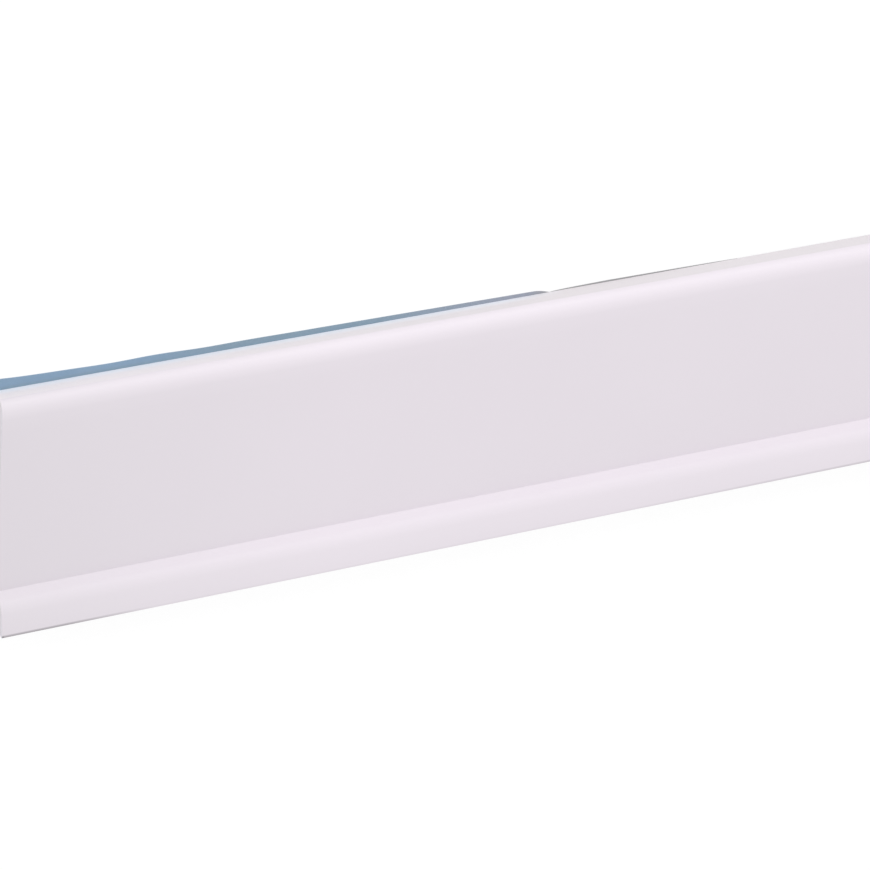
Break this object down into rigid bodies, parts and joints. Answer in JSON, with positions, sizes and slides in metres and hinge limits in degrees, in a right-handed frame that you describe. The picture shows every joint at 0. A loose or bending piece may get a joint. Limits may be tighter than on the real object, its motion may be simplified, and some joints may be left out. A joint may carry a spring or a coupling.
{
  "type": "plastic edge trim",
  "caption": "Extruded plastic edge trim: flat face, rounded upper edge and a lip that slopes out below a crease, with a foam adhesive strip and its release liner on the back.",
  "frame": {"origin": "middle of the lined adhesive back, on the plane that the trim lies on", "axes": "+X along the trim, away from the cut end in view; +Y up the face, towards the rounded edge; +Z out of the face"},
  "size_m": [1, 0.0528, 0.0093],
  "materials": {
    "trim_plastic": "smooth satin-gloss white",
    "tape_foam": "matte closed-cell white foam",
    "liner_film": "smooth matte blue film"
  },
  "bodies": {
    "root": {"trim_profile": "trim_plastic", "foam_tape": "tape_foam", "release_liner": "liner_film"}
  },
  "joints": []
}
